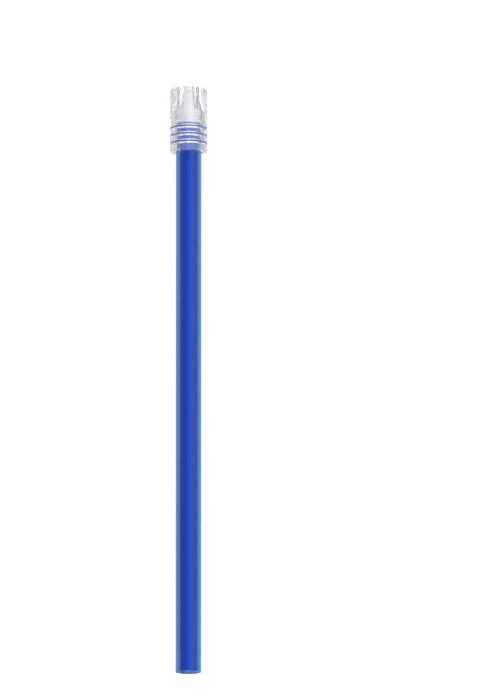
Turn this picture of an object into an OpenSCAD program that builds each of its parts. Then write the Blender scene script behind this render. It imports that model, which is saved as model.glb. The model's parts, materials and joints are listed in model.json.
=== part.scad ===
// Saliva ejector: a bendable suction tube with a shaping wire in its wall and a slotted clear tip.
// It lies on its side, tip towards +Y, resting on the rim of its open end and the rim of its tip.

/* [Tube] */
// Length that the tube is cut to, of which the last stretch is hidden in the tip
tube_len = 140.75; // [100:0.25:170]
// Outside diameter of the tube
tube_od = 6.5; // [6:0.1:7]
// Thickness of the tube wall, which sets the suction bore
tube_wall = 1.2; // [1.05:0.05:1.3]

/* [Shaping wire] */
// Diameter of the wire buried in the tube wall
wire_d = 0.8; // [0.5:0.05:0.8]

/* [Tip body] */
// Outside diameter of the tip
tip_od = 9.5; // [9:0.1:11]
// Length of the tip from its lower rim to the top of its lobes
tip_len = 16.5; // [15.5:0.5:20]
// Radius on the outer edge of the lower rim
rim_round = 0.3; // [0.1:0.05:0.5]
// Radius on the outer top edge of the lobes
crown_round = 1; // [0.5:0.1:1.2]

/* [Socket] */
// How far the tube goes into the tip
seat_depth = 7.25; // [7.1:0.05:7.5]
// Depth of the socket from the lower rim to its stop
socket_depth = 8; // [7.6:0.1:9]
// How much the tip squeezes the seated stretch of the tube, on the radius
seat_squeeze = 0.17; // [0.16:0.01:0.2]
// Gap all round between the tube's full size and the socket wall, between the ribs
socket_gap = 0.2; // [0.1:0.05:0.3]
// Width of the lead-in chamfer at the socket mouth
lead_in = 0.25; // [0.1:0.05:0.4]
// Number of retaining ribs that grip the tube
rib_count = 3; // [2:1:3]
// Distance between neighbouring ribs
rib_pitch = 1.95; // [1.7:0.05:2.1]
// Height of the first rib above the lower rim
rib_start = 2.4; // [2:0.1:2.6]
// Length of the gentle slope below a rib's crest, which eases the tube in
rib_ease = 0.33; // [0.25:0.01:0.4]
// How far the gentle slope falls away from the tube
rib_ease_gap = 0.06; // [0.04:0.01:0.1]
// Length of the steeper slope from there down to the socket wall
rib_lead = 0.4; // [0.3:0.05:0.45]
// Length of the steep back above a rib's crest, which holds the tube
rib_back = 0.2; // [0.1:0.02:0.3]
// Width of the rib's crest, which touches the tube
rib_crest = 0.34; // [0.2:0.02:0.5]

/* [Chamber] */
// How far the stop ring reaches in over the end of the tube
stop_lip = 0.3; // [0.2:0.05:0.6]
// Thickness of the stop ring
stop_width = 0.7; // [0.4:0.1:0.9]
// Diameter of the chamber above the stop ring
chamber_d = 6.4; // [6.3:0.1:6.8]
// Length of the straight part of the chamber
chamber_len = 1.5; // [1:0.1:2]
// Length of the cone that narrows to the crown bore
cone_len = 3.2; // [2.5:0.1:3.5]
// Diameter of the bore between the lobes
crown_bore = 4.8; // [4:0.1:5.4]

/* [Crown slots] */
// Number of slots, and so of lobes between them
slot_count = 6; // [4:1:6]
// Depth of a slot from the top of the lobes
slot_depth = 5.9; // [4:0.1:6.2]
// Width of a slot at the top
slot_mouth = 0.88; // [0.6:0.02:1.2]
// Width of a slot at its round foot
slot_foot = 0.28; // [0.2:0.02:0.4]
// Radius on each lobe where its top turns down into a slot
lobe_round = 0.65; // [0.4:0.05:0.65]
// Turn of the lobes about the axis, counted from the wire
crown_turn = -3; // [-30:1:30]

/* [Hidden] */
$fn = 96;
// Overrun of every cut past the face that it leaves
overrun = 0.5;

// How far a lobe's round is set in from its faces, as a share of its radius
lobe_set_share = 0.94;

tube_r = tube_od / 2;
bore_r = tube_r - tube_wall;
wire_r = wire_d / 2;
seat_r = tube_r - seat_squeeze;
wire_offset = (seat_r + bore_r) / 2;

tip_r = tip_od / 2;
tip_base = tube_len - seat_depth;
overall_len = tip_base + tip_len;
socket_r = tube_r + socket_gap;
stop_r = tube_r - stop_lip;
chamber_r = chamber_d / 2;
crown_r = crown_bore / 2;
chamber_base = socket_depth + stop_width;
cone_base = chamber_base + chamber_len;
cone_top = cone_base + cone_len;
slot_base = tip_len - slot_depth + slot_foot / 2;

// The ground line runs from the tube's end to the round of the tip's rim
ground_run = tip_base + rim_round;
ground_drop = tip_r - rim_round - tube_r;
rest_tilt = atan(ground_drop / ground_run) + asin(rim_round / norm([ground_run, ground_drop]));
rest_height = tube_r * cos(rest_tilt);
far_reach = (overall_len - crown_round) * cos(rest_tilt) + (tip_r - crown_round) * sin(rest_tilt) + crown_round;
near_reach = tube_r * sin(rest_tilt);
mid_reach = (far_reach - near_reach) / 2;

// Turns a piece drawn upright on the +Z axis, wire to the front, into the lying pose
module lay_down() {
    translate([0, -mid_reach, rest_height]) rotate([rest_tilt - 90, 0, 0]) children();
}

// What is cut away outside a rounded corner that points to +X +Y, from the centre of its radius
module corner_waste(radius) {
    difference() {
        square(radius + overrun);
        circle(radius);
    }
}

// The wire's run inside the tube wall, on the front of the tube
module wire_run(from, length) {
    translate([0, -wire_offset, from]) cylinder(r = wire_r, h = length);
}

// Half section of the tube wall, a little thinner where the tip squeezes it
module tube_section() {
    translate([bore_r, 0]) square([tube_wall, tip_base]);
    translate([bore_r, 0]) square([tube_wall - seat_squeeze, tube_len]);
}

// Extruded tube, cut square at both ends, with the run of the wire in its wall
module tube() {
    color([0.2, 0.36, 0.72]) lay_down() difference() {
        rotate_extrude() tube_section();
        wire_run(-overrun, tube_len + 2 * overrun);
    }
}

// Straight wire that keeps the shape the tube is bent to, cut off flush with it
module shaping_wire() {
    color([0.1, 0.26, 0.9]) lay_down() wire_run(0, tube_len);
}

// Half section of the tip without its hollow
module tip_blank_section() {
    difference() {
        square([tip_r, tip_len]);
        translate([tip_r - crown_round, tip_len - crown_round]) corner_waste(crown_round);
        translate([tip_r - rim_round, rim_round]) mirror([0, 1]) corner_waste(rim_round);
    }
}

// One retaining rib in section, from the socket wall to the tube
module rib_section() {
    polygon([
        [seat_r, -rib_crest / 2],
        [seat_r, rib_crest / 2],
        [socket_r, rib_crest / 2 + rib_back],
        [socket_r + overrun, rib_crest / 2 + rib_back],
        [socket_r + overrun, -rib_crest / 2 - rib_ease - rib_lead],
        [socket_r, -rib_crest / 2 - rib_ease - rib_lead],
        [seat_r + rib_ease_gap, -rib_crest / 2 - rib_ease]
    ]);
}

// Socket for the tube, open downwards
module socket_section() {
    difference() {
        translate([0, -overrun]) square([socket_r, socket_depth + overrun]);
        for (rib = [0 : rib_count - 1]) translate([0, rib_start + rib * rib_pitch]) rib_section();
    }
    polygon([
        [0, -overrun],
        [socket_r + lead_in + overrun, -overrun],
        [socket_r, lead_in],
        [0, lead_in]
    ]);
}

// Way through the stop ring, the chamber and the crown
module chamber_section() {
    polygon([
        [0, socket_depth - overrun],
        [stop_r, socket_depth - overrun],
        [stop_r, chamber_base],
        [chamber_r, chamber_base],
        [chamber_r, cone_base],
        [crown_r, cone_top],
        [crown_r, tip_len + overrun],
        [0, tip_len + overrun]
    ]);
}

// Half the width of a slot at a height above the centre of its round foot
function slot_half(height) = slot_foot / 2 + (slot_mouth - slot_foot) / 2 * height / (tip_len - slot_base);

// Outline of one slot, seen from outside, with the centre of its round foot at the origin
module slot_outline() {
    slot_rise = tip_len - slot_base;
    shoulder_set = lobe_round * lobe_set_share;
    shoulder_rise = slot_rise - shoulder_set;
    circle(d = slot_foot);
    polygon([
        [-slot_half(0), 0],
        [slot_half(0), 0],
        [slot_half(slot_rise + overrun), slot_rise + overrun],
        [-slot_half(slot_rise + overrun), slot_rise + overrun]
    ]);
    for (side = [0, 1]) mirror([side, 0])
        translate([slot_half(shoulder_rise) + shoulder_set, shoulder_rise])
            mirror([1, 0]) corner_waste(lobe_round);
}

// All the slots, cut outwards from the crown bore
module crown_slots() {
    slot_pitch = 360 / slot_count;
    slot_start = crown_r - overrun / 4;
    for (slot = [0 : slot_count - 1])
        rotate([0, 0, crown_turn + (slot + 1 / 2) * slot_pitch]) translate([0, 0, slot_base])
            rotate([90, 0, 0]) translate([0, 0, slot_start])
                linear_extrude(tip_r + overrun - slot_start) slot_outline();
}

// Clear moulded tip: ribbed socket, stop ring, chamber and the crown of rounded lobes
module tip() {
    color([0.82, 0.86, 0.9, 0.6]) lay_down() translate([0, 0, tip_base]) difference() {
        rotate_extrude() difference() {
            tip_blank_section();
            socket_section();
            chamber_section();
        }
        crown_slots();
    }
}

tube();
shaping_wire();
tip();
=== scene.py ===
import json
import math

import bmesh
import bpy
from mathutils import Matrix, Vector


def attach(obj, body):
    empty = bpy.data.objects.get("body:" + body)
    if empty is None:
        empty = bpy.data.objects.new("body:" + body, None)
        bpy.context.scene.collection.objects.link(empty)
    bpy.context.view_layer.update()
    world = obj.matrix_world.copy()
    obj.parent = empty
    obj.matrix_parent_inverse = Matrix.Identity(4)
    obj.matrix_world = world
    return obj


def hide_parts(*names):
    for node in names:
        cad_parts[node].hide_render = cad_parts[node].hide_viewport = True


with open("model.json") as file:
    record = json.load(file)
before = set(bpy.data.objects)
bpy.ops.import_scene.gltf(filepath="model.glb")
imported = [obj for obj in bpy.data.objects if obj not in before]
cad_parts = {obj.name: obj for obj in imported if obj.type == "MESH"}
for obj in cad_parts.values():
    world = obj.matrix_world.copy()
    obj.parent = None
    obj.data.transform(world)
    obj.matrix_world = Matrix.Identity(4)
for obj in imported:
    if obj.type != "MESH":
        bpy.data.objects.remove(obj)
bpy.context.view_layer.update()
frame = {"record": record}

MM = 0.001

# Sizes that the frame's mounts give, in millimetres
MOUNTS = {mount["name"]: mount for mount in frame["record"]["mounts"]}
COUPLING_END = MOUNTS["coupling_end"]
SUCTION_BORE = MOUNTS["suction_bore"]
TUBE_R = COUPLING_END["dims"]["r_mm"]
TIP_BASE = COUPLING_END["dims"]["length_mm"]
BORE_R = SUCTION_BORE["dims"]["r_mm"]
TUBE_LEN = SUCTION_BORE["dims"]["length_mm"]

# Tube and wire
WIRE_R = 0.4
CUT_EDGE_ROUND = 0.06
END_RECESS = 0.02
WIRE_END_ROUND = 0.08

# Tip, with heights from its lower rim
TIP_R = 4.75
TIP_LEN = 16.5
RIM_ROUND = 0.3
CROWN_ROUND = 1.0
CROWN_INNER_ROUND = 0.5
SEAT_SQUEEZE = 0.17
SEAT_R = TUBE_R - SEAT_SQUEEZE
WIRE_OFFSET = (SEAT_R + BORE_R) / 2
SOCKET_GAP = 0.2
SOCKET_R = TUBE_R + SOCKET_GAP
SOCKET_DEPTH = 8.0
LEAD_IN = 0.25
RIB_COUNT = 3
RIB_PITCH = 1.95
RIB_START = 2.4
RIB_CREST = 0.34
RIB_LEAD = 0.5
RIB_BACK = 0.26
RIB_ROUND = 0.08
STOP_LIP = 0.3
STOP_R = TUBE_R - STOP_LIP
STOP_WIDTH = 0.7
CHAMBER_R = 3.2
CHAMBER_LEN = 1.5
CONE_LEN = 3.2
CROWN_R = 2.4
SLOT_COUNT = 6
SLOT_DEPTH = 5.9
SLOT_MOUTH = 0.88
SLOT_FOOT = 0.28
LOBE_ROUND = 0.65
CROWN_TURN = -3
MOULD_ROUND = 0.1

CHAMBER_BASE = SOCKET_DEPTH + STOP_WIDTH
CONE_BASE = CHAMBER_BASE + CHAMBER_LEN
CONE_TOP = CONE_BASE + CONE_LEN
SLOT_BASE = TIP_LEN - SLOT_DEPTH + SLOT_FOOT / 2
RIB_HEIGHTS = [RIB_START + rib * RIB_PITCH for rib in range(RIB_COUNT)]

# Fineness and tolerances of the meshes
TURN_SIDES = 192
WIRE_SIDES = 48
ARC_STEP = math.radians(11)
GUARD_GAP = 0.12
GUARDED_LENGTH = 4 * GUARD_GAP
TOUCH_LIMIT = 0.01
SHARP_ANGLE = math.radians(32)
CUT_OVERRUN = 0.5

# Photograph's view: height in pixels, scale, lens and the point that the camera looks at
PHOTO_HEIGHT = 700
PIXELS_PER_MM = 3.949
LENS = 900
SENSOR = 36
VIEW_ELEVATION = math.radians(79.4)
AIM_HEIGHT = 82.57
AIM_SIDE = 15.56
CLIP_NEAR_SHARE = 0.05
CLIP_FAR_SHARE = 4


def laid_down():
    """Matrix that takes the upright drawing, open end at 0, to the part's lying pose."""
    axis = -Vector(SUCTION_BORE["axis"]).normalized()
    side = Vector((1, 0, 0))
    under = axis.cross(side)
    middle = Vector(SUCTION_BORE["pos_m"])
    open_end = middle - axis * (TUBE_LEN / 2 * MM)
    turned = Matrix((side, under, axis)).transposed().to_4x4()
    return Matrix.Translation(open_end) @ turned


LAID_DOWN = laid_down()


# Shapes


def arc_points(centre, radius, start, sweep):
    """Points along an arc, both ends included."""
    steps = max(2, math.ceil(abs(sweep) / ARC_STEP))
    return [
        (
            centre[0] + radius * math.cos(start + sweep * step / steps),
            centre[1] + radius * math.sin(start + sweep * step / steps),
        )
        for step in range(steps + 1)
    ]


def corner_arc(before, corner, after, radius):
    """Points of the arc that rounds one corner of an outline."""
    here = Vector(corner)
    back = (Vector(before) - here).normalized()
    ahead = (Vector(after) - here).normalized()
    half = math.acos(max(-1, min(1, back.dot(ahead)))) / 2
    centre = here + (back + ahead).normalized() * (radius / math.sin(half))
    first = here + back * (radius / math.tan(half)) - centre
    last = here + ahead * (radius / math.tan(half)) - centre
    start = math.atan2(first.y, first.x)
    sweep = math.atan2(first.x * last.y - first.y * last.x, first.dot(last))
    return arc_points(centre, radius, start, sweep)


def rounded(corners):
    """A closed outline from (x, y, radius) corners."""
    outline = []
    count = len(corners)
    for index, (x, y, radius) in enumerate(corners):
        if radius == 0:
            outline.append((x, y))
            continue
        before = corners[index - 1][:2]
        after = corners[(index + 1) % count][:2]
        outline.extend(corner_arc(before, (x, y), after, radius))
    return outline


def guarded(outline):
    """The outline with a point close to both ends of each long side, to hold its shading flat."""
    points = []
    count = len(outline)
    for index, point in enumerate(outline):
        here = Vector(point)
        ahead = Vector(outline[(index + 1) % count])
        points.append(point)
        length = (ahead - here).length
        if length > GUARDED_LENGTH:
            step = (ahead - here) * (GUARD_GAP / length)
            points.append(tuple(here + step))
            points.append(tuple(ahead - step))
    return points


def put_in_scene(name, mesh_maker):
    """A new object in the lying pose, from a bmesh in millimetres."""
    bmesh.ops.recalc_face_normals(mesh_maker, faces=mesh_maker.faces)
    mesh = bpy.data.meshes.new(name)
    mesh_maker.to_mesh(mesh)
    mesh_maker.free()
    mesh.transform(Matrix.Scale(MM, 4))
    piece = bpy.data.objects.new(name, mesh)
    bpy.context.scene.collection.objects.link(piece)
    piece.matrix_world = LAID_DOWN
    return piece


def soften(piece):
    """Smooth shading that keeps the piece's true edges."""
    piece.data.shade_smooth()
    piece.data.set_sharp_from_angle(angle=SHARP_ANGLE)


def revolve(name, outline):
    """A ring turned about the axis from a closed (radius, height) outline."""
    maker = bmesh.new()
    rings = []
    for side in range(TURN_SIDES):
        angle = 2 * math.pi * side / TURN_SIDES
        spot = (math.cos(angle), math.sin(angle))
        rings.append([maker.verts.new((r * spot[0], r * spot[1], z)) for r, z in outline])
    count = len(outline)
    for side in range(TURN_SIDES):
        here = rings[side]
        ahead = rings[(side + 1) % TURN_SIDES]
        for index in range(count):
            after = (index + 1) % count
            maker.faces.new((here[index], ahead[index], ahead[after], here[after]))
    return put_in_scene(name, maker)


def capped_rod(name, outline, centre, sides):
    """A solid rod along the axis from a (radius, height) outline, ends first and last."""
    maker = bmesh.new()
    rings = []
    for r, z in outline:
        ring = []
        for side in range(sides):
            angle = 2 * math.pi * side / sides
            spot = (centre[0] + r * math.cos(angle), centre[1] + r * math.sin(angle), z)
            ring.append(maker.verts.new(spot))
        rings.append(ring)
    for here, ahead in zip(rings, rings[1:]):
        for side in range(sides):
            after = (side + 1) % sides
            maker.faces.new((here[side], here[after], ahead[after], ahead[side]))
    maker.faces.new(rings[0])
    maker.faces.new(rings[-1])
    return put_in_scene(name, maker)


def tube_outline():
    """Half section of the tube wall, with a ring at both edges of every rib's grip."""
    grips = []
    for height in RIB_HEIGHTS:
        grips.append((SEAT_R, TIP_BASE + height - RIB_CREST / 2, 0))
        grips.append((SEAT_R, TIP_BASE + height + RIB_CREST / 2, 0))
    corners = [
        (BORE_R, END_RECESS, CUT_EDGE_ROUND),
        (TUBE_R, END_RECESS, CUT_EDGE_ROUND),
        (TUBE_R, TIP_BASE, 0),
        (SEAT_R, TIP_BASE + LEAD_IN, 0),
        *grips,
        (SEAT_R, TUBE_LEN, CUT_EDGE_ROUND),
        (BORE_R, TUBE_LEN, CUT_EDGE_ROUND),
    ]
    return guarded(rounded(corners))


def tip_outline():
    """Half section of the tip: crown, chamber, stop ring and ribbed socket."""
    ribs = []
    for height in reversed(RIB_HEIGHTS):
        top = height + RIB_CREST / 2
        bottom = height - RIB_CREST / 2
        ribs.append((SOCKET_R, top + RIB_BACK, RIB_ROUND))
        ribs.append((SEAT_R, top, 0))
        ribs.append((SEAT_R, bottom, 0))
        ribs.append((SOCKET_R, bottom - RIB_LEAD, RIB_ROUND))
    corners = [
        (TIP_R, 0, RIM_ROUND),
        (TIP_R, TIP_LEN, CROWN_ROUND),
        (CROWN_R, TIP_LEN, CROWN_INNER_ROUND),
        (CROWN_R, CONE_TOP, MOULD_ROUND),
        (CHAMBER_R, CONE_BASE, MOULD_ROUND),
        (CHAMBER_R, CHAMBER_BASE, MOULD_ROUND),
        (STOP_R, CHAMBER_BASE, MOULD_ROUND),
        (STOP_R, SOCKET_DEPTH, MOULD_ROUND),
        (SOCKET_R, SOCKET_DEPTH, MOULD_ROUND),
        *ribs,
        (SOCKET_R, LEAD_IN, 0),
        (SOCKET_R + LEAD_IN, 0, MOULD_ROUND),
    ]
    return guarded(rounded(corners))


def slot_half(height):
    """Half the width of a slot at a height above the centre of its round foot."""
    return SLOT_FOOT / 2 + (SLOT_MOUTH - SLOT_FOOT) / 2 * height / (TIP_LEN - SLOT_BASE)


def slot_outline():
    """Outline of one slot, open at the top, from the centre of its round foot."""
    rise = TIP_LEN - SLOT_BASE
    shoulder = (slot_half(rise), rise)
    top_side = (shoulder[0] + 2 * LOBE_ROUND, rise)
    right_arc = corner_arc((slot_half(0), 0), shoulder, top_side, LOBE_ROUND)
    left_arc = [(-x, y) for x, y in reversed(right_arc)]
    foot = arc_points((0, 0), SLOT_FOOT / 2, math.pi, math.pi)
    over = rise + CUT_OVERRUN
    return [(left_arc[0][0], over), *left_arc, *foot, *right_arc, (right_arc[-1][0], over)]


def slot_cutters():
    """All the slots as solids that reach out from the crown bore."""
    maker = bmesh.new()
    near = CROWN_R - CUT_OVERRUN / 4
    far = TIP_R + CUT_OVERRUN
    outline = slot_outline()
    for slot in range(SLOT_COUNT):
        turn = math.radians(CROWN_TURN + (slot + 1 / 2) * 360 / SLOT_COUNT)
        across = Vector((math.cos(turn), math.sin(turn), 0))
        outward = Vector((math.sin(turn), -math.cos(turn), 0))
        ends = []
        for reach in (near, far):
            spots = [
                across * x + outward * reach + Vector((0, 0, TIP_BASE + SLOT_BASE + y))
                for x, y in outline
            ]
            ends.append([maker.verts.new(spot) for spot in spots])
        inner, outer = ends
        count = len(outline)
        for index in range(count):
            after = (index + 1) % count
            maker.faces.new((inner[index], inner[after], outer[after], outer[index]))
        maker.faces.new(inner)
        maker.faces.new(outer)
    return put_in_scene("slot_cutters", maker)


def carve(piece, cutter):
    """Takes the cutter's solids out of the piece, and the cutter out of the scene."""
    carving = piece.modifiers.new("slots", "BOOLEAN")
    carving.operation = "DIFFERENCE"
    carving.solver = "EXACT"
    carving.object = cutter
    bpy.context.view_layer.objects.active = piece
    bpy.ops.object.modifier_apply(modifier=carving.name)
    bpy.data.objects.remove(cutter)


def mark_grips(piece, finish):
    """Gives the rings where tip and tube touch their own finish."""
    piece.data.materials.append(finish)
    grip_slot = len(piece.data.materials) - 1
    for face in piece.data.polygons:
        spots = [piece.data.vertices[index].co / MM for index in face.vertices]
        radii = [math.hypot(spot.x, spot.y) for spot in spots]
        height = sum(spot.z for spot in spots) / len(spots) - TIP_BASE
        touches = any(abs(height - rib) < RIB_CREST / 2 for rib in RIB_HEIGHTS)
        if touches and all(abs(radius - SEAT_R) < TOUCH_LIMIT for radius in radii):
            face.material_index = grip_slot


# Shader maths and finishes


class Value:
    """A shader socket that Python's own arithmetic works on, by adding Math nodes."""

    def __init__(self, finish, socket):
        self.finish = finish
        self.socket = socket

    def maths(self, operation, first, second):
        return self.finish.add("ShaderNodeMath", {"operation": operation}, {0: first, 1: second})

    def __add__(self, other):
        return self.maths("ADD", self, other)

    def __radd__(self, other):
        return self.maths("ADD", other, self)

    def __rsub__(self, other):
        return self.maths("SUBTRACT", other, self)

    def __mul__(self, other):
        return self.maths("MULTIPLY", self, other)

    def __rmul__(self, other):
        return self.maths("MULTIPLY", other, self)

    def __gt__(self, other):
        return self.maths("GREATER_THAN", self, other)

    def __lt__(self, other):
        return self.maths("LESS_THAN", self, other)


class Finish:
    """A material or world under construction."""

    def __init__(self, owner):
        owner.use_nodes = True
        self.owner = owner
        self.tree = owner.node_tree
        self.tree.nodes.clear()

    def add(self, kind, settings=None, inputs=None, output=0):
        """Adds a node, sets it up, fills its sockets and returns one of its outputs."""
        node = self.tree.nodes.new(kind)
        for name, setting in (settings or {}).items():
            if name == "stops":
                self.set_stops(node.color_ramp, setting)
            else:
                setattr(node, name, setting)
        for name, value in (inputs or {}).items():
            if isinstance(value, Value):
                self.tree.links.new(value.socket, node.inputs[name])
            else:
                node.inputs[name].default_value = value
        if not node.outputs:
            return None
        return Value(self, node.outputs[output])

    @staticmethod
    def set_stops(ramp, stops):
        """Fills a colour ramp from (place, grey level) pairs."""
        while len(ramp.elements) < len(stops):
            ramp.elements.new(1)
        for element, (place, level) in zip(ramp.elements, stops):
            element.position = place
            element.color = (level, level, level, 1)

    def place(self):
        """Where a point is on the upright drawing, in metres."""
        return self.add("ShaderNodeTexCoord", output="Object")

    def part_of(self, vector, axis):
        """One coordinate of a place, "X", "Y" or "Z"."""
        return self.add("ShaderNodeSeparateXYZ", inputs={"Vector": vector}, output=axis)

    def stretched(self, scale):
        """The drawing's places, each direction scaled by its own amount."""
        places = {"Vector": self.place(), "Scale": scale}
        return self.add("ShaderNodeMapping", {"vector_type": "POINT"}, places)

    def grain(self, scale, detail):
        """Fine noise with its own stretch, in waves to the metre along x, y and z."""
        sizes = {"Vector": self.stretched(scale), "Scale": 1.0, "Detail": detail}
        return self.add("ShaderNodeTexNoise", {"noise_dimensions": "3D"}, sizes)

    def bumped(self, height, strength, distance):
        """Surface normal from a height."""
        sizes = {"Strength": strength, "Distance": distance, "Height": height}
        return self.add("ShaderNodeBump", inputs=sizes)

    def blended(self, factor, first, second):
        """A colour between two, the second where the factor is 1."""
        return self.add("ShaderNodeMix", {"data_type": "RGBA"}, {0: factor, 6: first, 7: second}, output=2)

    def mixed(self, factor, first, second):
        """A surface or background between two, the second where the factor is 1."""
        return self.add("ShaderNodeMixShader", inputs={0: factor, 1: first, 2: second})

    def made(self, surface, kind="Material"):
        """Puts the surface on the output and hands the material back."""
        self.add("ShaderNodeOutput" + kind, inputs={"Surface": surface})
        return self.owner


def material(name):
    return bpy.data.materials.new(name)


def colour(red, green, blue):
    return (red, green, blue, 1)


WHITE = colour(1, 1, 1)
BLACK = colour(0, 0, 0)

# Blue vinyl: its body, its outer sides made lighter by painted light, the stretch in the tip made paler by
# a painted reflection, and a lighter strip painted over the wire so the wire shows bright
TUBE_DEEP = colour(0.054, 0.20, 0.62)
TUBE_LIGHT = colour(0.076, 0.24, 0.70)
TUBE_PAINTED_LIGHT_SIDE = colour(0.06, 0.26, 0.80)
TUBE_SEATED_PAINTED_REFLECTION = colour(0.26, 0.42, 0.80)
TUBE_OVER_WIRE_PAINTED_LIGHT = colour(0.16, 0.42, 1.0)

# Open end: the clear and the matt share of the cut, both lighter at the sides by painted light, and the
# mouth of the bore, a painted reflection with painted shade on its left
CUT_MIDDLE = colour(0.03, 0.10, 0.75)
CUT_PAINTED_LIGHT_SIDE = colour(0.10, 0.34, 0.95)
SAWN_MIDDLE = colour(0.03, 0.12, 0.80)
SAWN_PAINTED_LIGHT_SIDE = colour(0.12, 0.38, 1.0)
MOUTH_PAINTED_REFLECTION_RIGHT = colour(0.33, 0.26, 0.40)
MOUTH_PAINTED_SHADE_LEFT = colour(0.22, 0.16, 0.20)

# Clear vinyl, and the rings where rib and tube touch
TIP_COOL = colour(0.965, 0.97, 0.985)
TIP_CLEAR = colour(0.985, 0.988, 0.995)
TUBE_GRIP_MIDDLE = colour(0.07, 0.28, 0.95)
TUBE_GRIP_SIDE = colour(0.01, 0.20, 1.0)
CREST_SIDE = colour(0.2, 0.45, 1.0)

# Wire: its coat, the painted glow that keeps it bright in the wall, paler in the tip, and its cut ends
COAT_DEEP = colour(0.0, 0.12, 0.90)
COAT_LIGHT = colour(0.01, 0.20, 1.0)
COAT_PAINTED_GLOW = colour(0, 0.02, 1.0)
SEATED_PAINTED_GLOW = colour(0.6, 0.65, 1.0)
BARE_METAL = colour(0.30, 0.34, 0.50)

# Waves to the metre, two ways across the piece and then along it
STREAKS = (2600, 2600, 6)
FINE_STREAKS = (7000, 7000, 40)
MOULD_FLOW = (260, 260, 130)
HANDLING = (900, 900, 500)
DRAWING_LINES = (9000, 9000, 30)

# Where the finishes change, and where painted light and shade begin, in millimetres on the upright drawing
PAINTED_LIGHT_SIDE_FROM = 2.02
OVER_WIRE_HALF = 0.46
CUT_DEPTH = 0.1
MOUTH_DEPTH = 0.9
MOUTH_R = BORE_R * 1.01
MOUTH_SPLIT = -0.85
BARE_DEPTH = 0.06

# How much of the cut is matt
SAWN_SHARE = 0.7


def blue_tube_finish():
    """Translucent blue extruded vinyl with faint lines along it, its cut ends less clear. Painted light
    makes its outer sides lighter, a painted reflection makes it paler inside the tip, a lighter strip is
    painted over the wire, and the mouth of the bore holds a painted reflection with painted shade on its
    left.
    """
    finish = Finish(material("blue_vinyl_tube"))
    place = finish.place()
    across = finish.part_of(place, "X")
    under = finish.part_of(place, "Y")
    along = finish.part_of(place, "Z")
    streaks = finish.grain(STREAKS, detail=3.0)
    fine = finish.grain(FINE_STREAKS, detail=2.0)
    handling = finish.grain(HANDLING, detail=4.0)
    tint = finish.blended(streaks, TUBE_DEEP, TUBE_LIGHT)
    # Painted light: the outer sides of the tube, and of its cut end, are lighter
    painted_light_sides = across * across > (PAINTED_LIGHT_SIDE_FROM * MM) ** 2
    tint = finish.blended(painted_light_sides, tint, TUBE_PAINTED_LIGHT_SIDE)
    # Paler where the tube sits in the tip: a painted reflection of the tip's clear walls
    seated = along > TIP_BASE * MM
    tint = finish.blended(seated, tint, TUBE_SEATED_PAINTED_REFLECTION)
    # Painted light: a lighter strip over the wire, so that the wire shows bright
    painted_light_over_wire = (across * across < (OVER_WIRE_HALF * MM) ** 2) * (under < -BORE_R * MM)
    tint = finish.blended(painted_light_over_wire, tint, TUBE_OVER_WIRE_PAINTED_LIGHT)
    cut_end = along < CUT_DEPTH * MM
    tint = finish.blended(cut_end, tint, finish.blended(painted_light_sides, CUT_MIDDLE, CUT_PAINTED_LIGHT_SIDE))
    in_bore = across * across + under * under < (MOUTH_R * MM) ** 2
    in_mouth = (along < MOUTH_DEPTH * MM) * (under > 0) * in_bore
    # Painted reflection inside the mouth of the bore, with painted shade on its left
    mouth = finish.blended(across < MOUTH_SPLIT * MM, MOUTH_PAINTED_REFLECTION_RIGHT, MOUTH_PAINTED_SHADE_LEFT)
    tint = finish.blended(in_mouth * (1 - cut_end), tint, mouth)
    lines = streaks * 0.6 + fine * 0.4
    skin = finish.add(
        "ShaderNodeBsdfPrincipled",
        inputs={
            "Base Color": tint,
            "Roughness": 0.04 + handling * 0.10 + cut_end * 0.4,
            "IOR": 1.5,
            "Transmission Weight": 0.94,
            "Normal": finish.bumped(lines, strength=0.35, distance=0.04 * MM),
        },
    )
    sawn = finish.add(
        "ShaderNodeBsdfPrincipled",
        inputs={
            "Base Color": finish.blended(painted_light_sides, SAWN_MIDDLE, SAWN_PAINTED_LIGHT_SIDE),
            "Roughness": 0.55,
            "Specular IOR Level": 0.1,
        },
    )
    return finish.made(finish.mixed(cut_end * SAWN_SHARE, skin, sawn))


def clear_tip_finish():
    """Clear moulded vinyl with the slight waves of the mould."""
    finish = Finish(material("clear_vinyl_tip"))
    flow = finish.grain(MOULD_FLOW, detail=2.0)
    handling = finish.grain(HANDLING, detail=4.0)
    skin = finish.add(
        "ShaderNodeBsdfPrincipled",
        inputs={
            "Base Color": finish.blended(flow, TIP_COOL, TIP_CLEAR),
            "Roughness": 0.02 + handling * 0.05,
            "IOR": 1.5,
            "Transmission Weight": 0.975,
            "Normal": finish.bumped(flow, strength=0.25, distance=0.2 * MM),
        },
    )
    return finish.made(skin)


def grip_finish(name, tint, side_tint):
    """The rings where the ribs wet the tube, with no air between, deeper in colour at the sides."""
    finish = Finish(material(name))
    across = finish.part_of(finish.place(), "X")
    sideways = across * across * (1 / (SEAT_R * MM) ** 2)
    middle = finish.add("ShaderNodeBsdfTransparent", inputs={"Color": tint})
    side = finish.add("ShaderNodeBsdfTransparent", inputs={"Color": side_tint})
    return finish.made(finish.mixed(sideways, middle, side))


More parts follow.
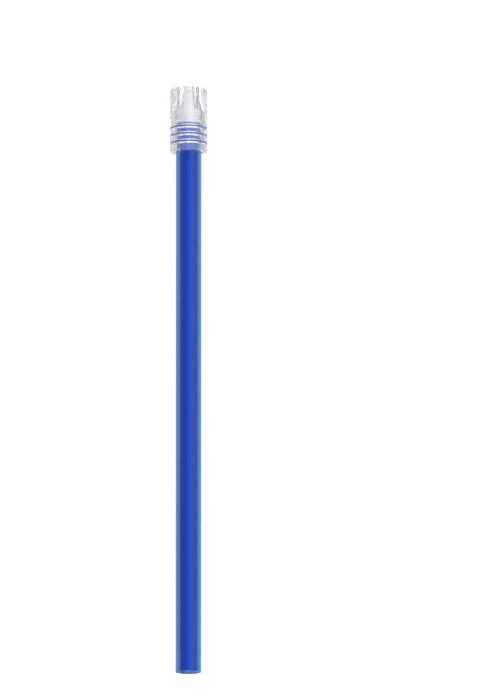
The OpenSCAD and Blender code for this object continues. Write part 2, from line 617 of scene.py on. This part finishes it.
def wire_finish():
    """Blue-coated soft wire, bare and bright where it was cut, with a painted glow that keeps the coat
    bright inside the wall.
    """
    finish = Finish(material("blue_coated_wire"))
    along = finish.part_of(finish.place(), "Z")
    at_open_end = along < BARE_DEPTH * MM
    at_seat_end = along > (TUBE_LEN - BARE_DEPTH) * MM
    bare = at_open_end + at_seat_end
    seated = along > TIP_BASE * MM
    # Painted glow, paler where the wire sits in the tip
    glow = finish.blended(seated, COAT_PAINTED_GLOW, SEATED_PAINTED_GLOW)
    drawn = finish.grain(DRAWING_LINES, detail=2.0)
    coat = finish.blended(drawn, COAT_DEEP, COAT_LIGHT)
    skin = finish.add(
        "ShaderNodeBsdfPrincipled",
        inputs={
            "Base Color": finish.blended(bare, coat, BARE_METAL),
            "Metallic": 0.2 + bare * 0.6,
            "Roughness": 0.28 + drawn * 0.12,
            "Normal": finish.bumped(drawn, strength=0.3, distance=0.03 * MM),
            "Emission Color": finish.blended(bare, glow, BLACK),
            "Emission Strength": 0.3,
        },
    )
    return finish.made(skin)


# The pieces


def make_tube():
    tube = revolve("suction_tube", tube_outline())
    tube.data.materials.append(blue_tube_finish())
    mark_grips(tube, grip_finish("tube_under_rib", TUBE_GRIP_MIDDLE, TUBE_GRIP_SIDE))
    soften(tube)
    return tube


def make_wire():
    ends = [
        (WIRE_R - WIRE_END_ROUND, 0),
        (WIRE_R, WIRE_END_ROUND),
        (WIRE_R, TUBE_LEN - WIRE_END_ROUND),
        (WIRE_R - WIRE_END_ROUND, TUBE_LEN),
    ]
    wire = capped_rod("bending_wire", ends, (0, -WIRE_OFFSET), WIRE_SIDES)
    wire.data.materials.append(wire_finish())
    soften(wire)
    return wire


def make_tip():
    outline = [(r, z + TIP_BASE) for r, z in tip_outline()]
    tip = revolve("slotted_tip", outline)
    tip.data.materials.append(clear_tip_finish())
    carve(tip, slot_cutters())
    mark_grips(tip, grip_finish("rib_crest", WHITE, CREST_SIDE))
    soften(tip)
    return tip


def dress_object():
    for piece, node, slot in (
        (make_tube(), "tube", "tube"),
        (make_wire(), "shaping_wire", "wire"),
        (make_tip(), "tip", "tip"),
    ):
        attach(piece, "root")
        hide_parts(node)


# The studio

TABLE_HALF = 0.6
TABLE_WHITE = colour(0.85, 0.85, 0.85)
TABLE_GLOW = 1.2
GLOW_SEEN_DIRECTLY = 0.85
GLOW_SEEN_IN_GLOSS = 0.5
GLOW_SEEN_THROUGH = 0.8

# Painted shadow and pool of light: grey levels across the table under the object, brightest just right of
# the middle, seen only through the plastic, and their width in metres
UNDER_SPAN = 0.06
UNDER_PAINTED_SHADES = [
    (0.17, 0.42),
    (0.30, 0.54),
    (0.40, 0.66),
    (0.468, 0.68),
    (0.512, 0.94),
    (0.563, 0.76),
    (0.628, 0.46),
    (0.70, 0.40),
    (0.80, 0.35),
]

# Skies that plastic shows, from straight down at 0 to straight up at 1, and where the right one begins
THROUGH_LEFT = [(0.0, 0.5), (0.5, 0.5), (0.6, 0.6), (0.75, 0.85), (1.0, 0.95)]
THROUGH_RIGHT = [(0.0, 0.5), (0.49, 0.5), (0.5, 0.55), (0.6, 0.7), (0.75, 1.0), (1.0, 1.35)]
RIGHT_FROM = -0.3

# Sky that gloss shows, from far left at 0 to far right at 1
GLOSS_SHADES = [(0.0, 0.2), (0.1, 0.35), (0.38, 0.12), (0.56, 0.12), (0.66, 0.95), (0.92, 1.0), (1.0, 0.25)]
FILL_LIGHT = 0.5

ALL_BOUNCES = 32
INNER_BOUNCES = 20


def ray_kind(finish, kind):
    """1 for rays of one kind on their last stretch."""
    return finish.add("ShaderNodeLightPath", output="Is " + kind + " Ray")


def table_finish():
    """White table that still takes the object's shadow, and, seen through the plastic, shows a painted
    shadow and pool of light across it under the object.
    """
    finish = Finish(material("white_table"))
    matt = finish.add("ShaderNodeBsdfDiffuse", inputs={"Color": TABLE_WHITE})
    through = ray_kind(finish, "Transmission")
    mirrored = ray_kind(finish, "Glossy") * (1 - through)
    share = (
        ray_kind(finish, "Camera") * GLOW_SEEN_DIRECTLY
        + mirrored * GLOW_SEEN_IN_GLOSS
        + through * GLOW_SEEN_THROUGH
    )
    across = finish.part_of(finish.place(), "X")
    # Painted shadow and pool of light on the table, seen only through the plastic
    under = finish.add("ShaderNodeValToRGB", {"stops": UNDER_PAINTED_SHADES}, {0: across * (1 / UNDER_SPAN) + 0.5})
    shade = finish.blended(through, WHITE, under)
    glow = finish.add("ShaderNodeEmission", inputs={"Color": shade, "Strength": TABLE_GLOW})
    return finish.made(finish.mixed(share, matt, glow))


def lay_table():
    maker = bmesh.new()
    corners = [(-1, -1), (1, -1), (1, 1), (-1, 1)]
    maker.faces.new([maker.verts.new((x * TABLE_HALF, y * TABLE_HALF, 0)) for x, y in corners])
    mesh = bpy.data.meshes.new("table")
    maker.to_mesh(mesh)
    maker.free()
    table = bpy.data.objects.new("table", mesh)
    table.data.materials.append(table_finish())
    bpy.context.scene.collection.objects.link(table)


def sky(finish, part, shades):
    """A background with its shades spread over one part of the direction, which runs from -1 to 1."""
    seen = finish.add("ShaderNodeValToRGB", {"stops": shades}, {0: part * 0.5 + 0.5})
    return finish.add("ShaderNodeBackground", inputs={"Color": seen, "Strength": 1.0})


def set_surroundings():
    """Even white light, brighter from the right for gloss and from above for clear plastic."""
    world = bpy.data.worlds.new("studio")
    bpy.context.scene.world = world
    finish = Finish(world)
    direction = finish.add("ShaderNodeTexCoord", output="Generated")
    fill = finish.add("ShaderNodeBackground", inputs={"Color": WHITE, "Strength": FILL_LIGHT})
    right = finish.part_of(direction, "X")
    up = finish.part_of(direction, "Z")
    left_sky = sky(finish, up, THROUGH_LEFT)
    right_sky = sky(finish, up, THROUGH_RIGHT)
    through = finish.mixed(right > RIGHT_FROM, left_sky, right_sky)
    gloss = sky(finish, right, GLOSS_SHADES)
    white = finish.add("ShaderNodeBackground", inputs={"Color": WHITE, "Strength": 1.0})
    light = finish.mixed(ray_kind(finish, "Glossy"), fill, gloss)
    light = finish.mixed(ray_kind(finish, "Transmission"), light, through)
    light = finish.mixed(ray_kind(finish, "Camera"), light, white)
    finish.made(light, "World")


def hang_softbox(name, place, size, watts):
    """A soft lamp that points at the middle of the table and doesn't show in gloss or plastic."""
    lamp = bpy.data.lights.new(name, "AREA")
    lamp.shape = "RECTANGLE"
    lamp.size, lamp.size_y = size
    lamp.energy = watts
    box = bpy.data.objects.new(name, lamp)
    box.location = place
    box.rotation_euler = (-Vector(place)).to_track_quat("-Z", "Y").to_euler()
    box.visible_glossy = False
    box.visible_transmission = False
    bpy.context.scene.collection.objects.link(box)


def light_studio():
    set_surroundings()
    hang_softbox("key_light", place=(0.45, 0.05, 0.5), size=(0.3, 0.5), watts=1.5)
    hang_softbox("left_light", place=(-0.5, 0.1, 0.4), size=(0.25, 0.5), watts=0.12)


def place_camera():
    """Looks down on the object as the photograph does, the tube left of the middle."""
    view = bpy.data.cameras.new("photo_view")
    view.lens = LENS
    view.sensor_width = SENSOR
    focal_pixels = LENS / SENSOR * PHOTO_HEIGHT
    distance = focal_pixels / PIXELS_PER_MM * MM
    view.clip_start = distance * CLIP_NEAR_SHARE
    view.clip_end = distance * CLIP_FAR_SHARE
    aim = LAID_DOWN @ Vector((0, 0, AIM_HEIGHT * MM)) + Vector((AIM_SIDE * MM, 0, 0))
    away = Vector((0, -math.cos(VIEW_ELEVATION), math.sin(VIEW_ELEVATION)))
    camera = bpy.data.objects.new("photo_view", view)
    camera.location = aim + away * distance
    camera.rotation_euler = (-away).to_track_quat("-Z", "Y").to_euler()
    bpy.context.scene.collection.objects.link(camera)
    bpy.context.scene.camera = camera


def let_light_wander():
    """Enough bounces for light to find its way out of the ribbed and slotted clear tip."""
    cycles = bpy.context.scene.cycles
    cycles.max_bounces = ALL_BOUNCES
    cycles.glossy_bounces = INNER_BOUNCES
    cycles.transmission_bounces = ALL_BOUNCES


dress_object()
lay_table()
light_studio()
place_camera()
let_light_wander()
bpy.context.scene.view_settings.view_transform = "Standard"

bpy.context.view_layer.update()
